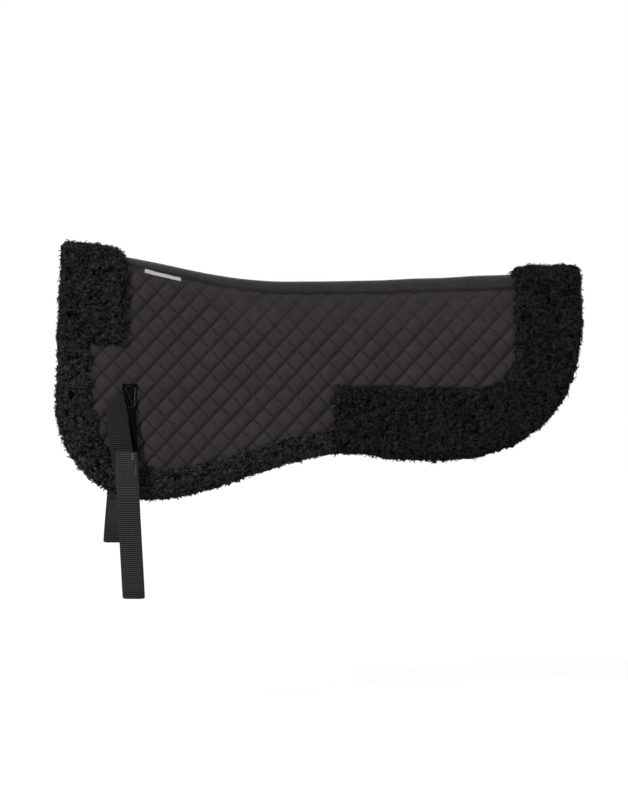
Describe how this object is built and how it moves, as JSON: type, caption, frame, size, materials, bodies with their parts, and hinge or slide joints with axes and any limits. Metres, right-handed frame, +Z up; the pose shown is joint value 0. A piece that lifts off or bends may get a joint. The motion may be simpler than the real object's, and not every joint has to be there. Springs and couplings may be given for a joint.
{
  "type": "half pad",
  "caption": "Half pad for under a saddle: quilted flaps lined and edged with fleece, a smooth padded spine, and a webbing loop at each front corner.",
  "frame": {"origin": "underside of the spine, at the level stretch of the topline", "axes": "+X towards the pad's rear, +Y to its right side, +Z up"},
  "size_m": [0.607, 0.2124, 0.4093],
  "materials": {
    "quilted_cotton": "matt quilted cotton drill, black with a brown cast",
    "smooth_cotton": "smooth black cotton",
    "trim_fleece": "curly black fleece",
    "lining_fleece": "curly black fleece",
    "wadding": "soft fibre wadding",
    "webbing": "ribbed black webbing",
    "loop_pile": "black loop tape",
    "hook_tape": "black hook tape",
    "label": "silver-grey woven label, blank"
  },
  "bodies": {
    "spine": {"spine_cover": "smooth_cotton", "spine_wadding": "wadding", "spine_lining": "smooth_cotton", "pommel_fleece_bridge": "trim_fleece", "cantle_fleece_bridge": "trim_fleece"},
    "left_flap": {"left_quilted_shell": "quilted_cotton", "left_wadding": "wadding", "left_fleece_lining": "lining_fleece", "left_channel_facing": "smooth_cotton", "left_pommel_fleece": "trim_fleece", "left_front_edge_fleece": "trim_fleece", "left_lower_edge_fleece": "trim_fleece", "left_rear_fleece": "trim_fleece", "left_strap_anchor": "webbing", "left_strap_fold": "webbing", "blank_label": "label"},
    "right_flap": {"right_quilted_shell": "quilted_cotton", "right_wadding": "wadding", "right_fleece_lining": "lining_fleece", "right_channel_facing": "smooth_cotton", "right_pommel_fleece": "trim_fleece", "right_front_edge_fleece": "trim_fleece", "right_lower_edge_fleece": "trim_fleece", "right_rear_fleece": "trim_fleece", "right_strap_anchor": "webbing", "right_strap_fold": "webbing"},
    "left_strap": {"left_strap_back_leg": "webbing", "left_strap_upper_leg": "webbing", "left_loop_patch": "loop_pile"},
    "left_strap_tail": {"left_strap_tail": "webbing", "left_hook_patch": "hook_tape"},
    "right_strap": {"right_strap_back_leg": "webbing", "right_strap_upper_leg": "webbing", "right_loop_patch": "loop_pile"},
    "right_strap_tail": {"right_strap_tail": "webbing", "right_hook_patch": "hook_tape"}
  },
  "joints": [
    {"name": "left_flap_fold", "type": "hinge", "parent": "spine", "child": "left_flap", "pos_m": [-0.2985, -0.01678, 0.04219], "axis": [-0.9982, 0.0076, 0.0589], "range_deg": [0, 45]},
    {"name": "left_strap_swing", "type": "hinge", "parent": "left_flap", "child": "left_strap", "pos_m": [-0.224, -0.06495, -0.13432], "axis": [-1, 0, 0], "range_deg": [0, 110]},
    {"name": "left_tail_peel", "type": "hinge", "parent": "left_strap", "child": "left_strap_tail", "pos_m": [-0.21239, -0.10624, -0.34269], "axis": [1, 0, 0], "range_deg": [0, 160]},
    {"name": "right_flap_fold", "type": "hinge", "parent": "spine", "child": "right_flap", "pos_m": [-0.2985, 0.01678, 0.04219], "axis": [0.9982, 0.0076, -0.0589], "range_deg": [0, 45]},
    {"name": "right_strap_swing", "type": "hinge", "parent": "right_flap", "child": "right_strap", "pos_m": [-0.224, 0.06495, -0.13432], "axis": [1, 0, 0], "range_deg": [0, 110]},
    {"name": "right_tail_peel", "type": "hinge", "parent": "right_strap", "child": "right_strap_tail", "pos_m": [-0.24532, 0.10624, -0.28669], "axis": [-1, 0, 0], "range_deg": [0, 160]}
  ]
}
